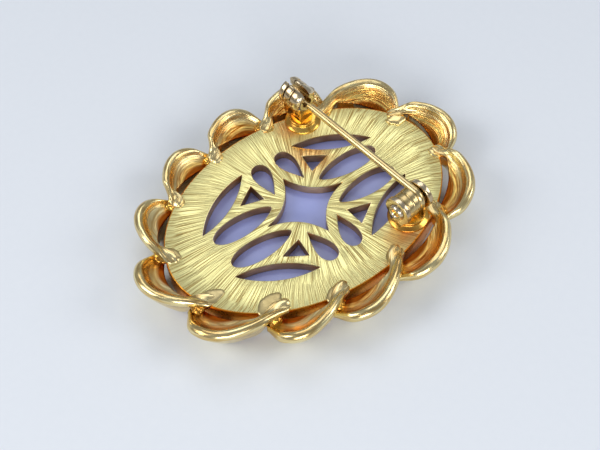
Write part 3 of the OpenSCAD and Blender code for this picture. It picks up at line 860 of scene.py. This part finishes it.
def makePin():
    # the wire lies flattened in the coil, rounds off in its last turn and is drawn out straight to the point
    angles = [2 * math.pi * i / pin["around"] for i in range(pin["around"])]
    begin, end = (2 * math.pi * turns for turns in pin["flattens"])
    rings = []
    for k in range(pin["steps"], -1, -1):
        angle = pin["turns"] * 2 * math.pi * k / pin["steps"]
        middle = coilPlace(angle)
        out = Vector((middle.x, middle.y, 0)).normalized()
        flat = pin["roundness"] + pin["flatness"] * smoothStep(begin, end, angle)
        ring = []
        for a in angles:
            c, d = math.cos(a), math.sin(a)
            reach = pin["coilWire"] / 2 / (abs(c) ** flat + abs(d) ** flat) ** (1 / flat)
            ring.append(middle + out * reach * c + Vector((0, 0, 1)) * reach * d)
        rings.append(ring)
    straight = finding["wire"] / 2
    tip = pin["tip"] - hinge["x"]
    midWay, midShare = pin["midTaper"]
    nearBy, nearShare = pin["nearPoint"]
    stations = [(-pin["neck"] * 0.5, (pin["coilWire"] / 2 + straight) / 2), (-pin["neck"], straight),
                (tip + pin["taper"], straight), (tip + pin["taper"] * midWay, straight * midShare),
                (tip + nearBy, straight * nearShare)]
    stations += [(tip + x, r) for x, r in pin["point"]]
    for x, r in stations:
        rings.append([Vector((x, -pin["coilRadius"] - r * math.cos(a), finding["pinOff"] + r * math.sin(a)))
                      for a in angles])
    bm = bmesh.new()
    loft(bm, rings, capFirst=True, capLast=True)
    bmesh.ops.transform(bm, matrix=hingeAxis(0), verts=bm.verts[:])
    finishPiece("pin", bm, [pinWire], "pin", ["pin_stem"], sharpAt=70)


makeHingeBracket()
makeRivet()
makePin()
print("hinge and pin made")


# the catch, in mm: two ears with the turning piece between them, on a saddle over a drum foot;
# lobes are where the end ear begins and ends and where the front ear does, along the pin's line
catch = {"x": -12.5, "z": 10.1, "lobes": (-2.15, -1.2, 0.3, 2.05), "radius": 2.1, "bore": 1.4,
         "earEdge": 0.05, "mouth": 1.0, "foot": 2.7, "drum": 1.9, "drumHigh": 1.25, "footAhead": 0.9,
         "saddle": 2.3, "saddleLow": 0.9, "saddleEnds": (0.2, 0.35), "saddleGap": 0.13, "saddleEdge": 0.12,
         "cheekLow": 1.0, "cheekTop": 1.45, "cheekInset": 0.12, "cheekFront": 0.3, "cheekEdge": 0.1}


def catchAxis(along):
    return (skewed @ Matrix.Translation((catch["x"] + along, finding["pinOff"], catch["z"]))
            @ Matrix.Rotation(math.pi / 2, 4, "Y"))


def makeCatchFoot():
    bm = bmesh.new()
    drumFoot(bm, catch["foot"], catch["drum"], catch["drumHigh"],
             standing(catch["x"] + catch["footAhead"], finding["pinOff"], plate["back"]))
    finishPiece("catch_foot", bm, [shadedUnderGilding], "body", ["setting"])


def makeCatchEars():
    endFrom, endTo, frontFrom, frontTo = catch["lobes"]
    r, bore = catch["radius"], catch["bore"]
    thick, long = endTo - endFrom, frontTo - frontFrom
    profiles = {"end": (endFrom, [(bore, 0), (r - 0.35, 0), (r - 0.1, 0.1), (r, 0.35), (r, thick - 0.1),
                                  (r - 0.12, thick), (bore, thick)]),
                "front": (frontFrom, [(bore, 0), (r - 0.12, 0), (r, 0.12), (r, 0.8), (r - 0.07, 1.15),
                                      (r - 0.24, 1.45), (r - 0.47, 1.66), (bore, long)])}
    for name, (begin, profile) in profiles.items():
        bm = bmesh.new()
        turned(bm, profile, catchAxis(begin), rounding=catch["earEdge"], close=True)
        cutter = bmesh.new()
        box(cutter, (-4, -catch["mouth"] / 2, 0), (4, catch["mouth"] / 2, r + 1),
            standing(catch["x"], finding["pinOff"], catch["z"]), 0)
        finishPiece(f"catch_ear_{name}", carved(bm, cutter), [findingGilding], "body",
                    ["setting"], sharpAt=40)


def makeSaddle():
    # the saddle passes under the turning piece, and a cheek rises from it into each ear
    endFrom, endTo, frontFrom, frontTo = catch["lobes"]
    half, axisHigh = catch["saddle"] / 2, catch["z"] - plate["back"]
    place = standing(catch["x"], finding["pinOff"], plate["back"])
    back, front = catch["saddleEnds"]
    inset = catch["cheekInset"]
    saddleTop, cheekTop = axisHigh - catch["radius"] - catch["saddleGap"], axisHigh - catch["cheekTop"]
    bm = bmesh.new()
    box(bm, (endFrom + back, -half, catch["saddleLow"]), (frontTo - front, half, saddleTop), place,
        catch["saddleEdge"])
    for low, high in ((endFrom + inset, endTo - inset), (frontFrom + inset, frontTo - catch["cheekFront"])):
        box(bm, (low, -half, catch["cheekLow"]), (high, half, cheekTop), place, catch["cheekEdge"])
    finishPiece("catch_saddle", bm, [shadedUnderGilding], "body", ["setting"])


def makeRoller():
    # the CAD's own turning piece, merged so that its round sides shade smoothly
    bm = bmesh.new()
    bm.from_mesh(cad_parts["catch_roller"].data)
    bmesh.ops.remove_doubles(bm, verts=bm.verts[:], dist=0.002 * mm)
    bmesh.ops.dissolve_limit(bm, angle_limit=math.radians(1), verts=bm.verts[:], edges=bm.edges[:])
    bmesh.ops.scale(bm, vec=(1 / mm, 1 / mm, 1 / mm), verts=bm.verts[:])
    finishPiece("roller", bm, [findingGilding], "roller", ["catch_roller"], sharpAt=35)


makeCatchFoot()
makeCatchEars()
makeSaddle()
makeRoller()
print("catch made")


# the floor's size is in metres; a softbox has mm away from the camera, to its right and up, then
# width, height and power
stage = {"floor": linear("#dfe3e8"), "tooth": linear("#d3d8df"), "toothSize": 1.1111, "toothShare": 0.25,
         "rough": 0.8, "size": 2, "world": linear("#dfe6f2"), "worldStrength": 0.42, "aim": (0, 0, 5),
         "lights": {"window": (260, 0, 380, 320, 260, 0.43), "left softbox": (-52, -300, 240, 180, 180, 0.5),
                    "right card": (0, 300, 200, 160, 160, 0.3),
                    "camera side card": (-338, 0, 160, 260, 120, 0.75)}}


def makeFloor():
    bm = bmesh.new()
    bmesh.ops.create_grid(bm, x_segments=1, y_segments=1, size=stage["size"])
    mesh = bpy.data.meshes.new("floor")
    bm.to_mesh(mesh)
    bm.free()
    # matt card with a fine tooth, which gives a soft shadow and no shine
    material, tree, shader = newMaterial("card, matt pale grey")
    place = addNode(tree, "ShaderNodeTexCoord").outputs["Object"]
    tooth = addNode(tree, "ShaderNodeTexNoise", {
        "Vector": place, "Scale": 1 / mm / stage["toothSize"]}).outputs["Fac"]
    share = addNode(tree, "ShaderNodeMapRange", {0: tooth, 4: stage["toothShare"]}).outputs[0]
    colour = addNode(tree, "ShaderNodeMix", {
        0: share, 6: stage["floor"], 7: stage["tooth"]}, data_type="RGBA").outputs[2]
    fillShader(tree, shader, {"Base Color": colour}, {"Roughness": stage["rough"]})
    mesh.materials.append(material)
    floor = bpy.data.objects.new("floor", mesh)
    bpy.context.collection.objects.link(floor)


def lightWorld():
    world = bpy.data.worlds.new("studio")
    world.use_nodes = True
    background = world.node_tree.nodes["Background"]
    background.inputs["Color"].default_value = stage["world"]
    background.inputs["Strength"].default_value = stage["worldStrength"]
    bpy.context.scene.world = world
    bpy.context.scene.view_settings.view_transform = "Standard"


def addSoftboxes():
    away = Vector((-towardsCamera.x, -towardsCamera.y, 0)).normalized()
    side = Vector((cameraRight.x, cameraRight.y, 0)).normalized()
    for name, (back, right, up, width, height, power) in stage["lights"].items():
        data = bpy.data.lights.new(name, "AREA")
        data.shape = "RECTANGLE"
        data.size = width * mm
        data.size_y = height * mm
        data.energy = power
        light = bpy.data.objects.new(name, data)
        at = away * back + side * right + Vector((0, 0, up))
        facing = (Vector(stage["aim"]) - at).to_track_quat("-Z", "Y").to_matrix().to_4x4()
        light.matrix_world = Matrix.Translation(at * mm) @ facing
        bpy.context.collection.objects.link(light)


makeFloor()
lightWorld()
addSoftboxes()
print("stage lit")
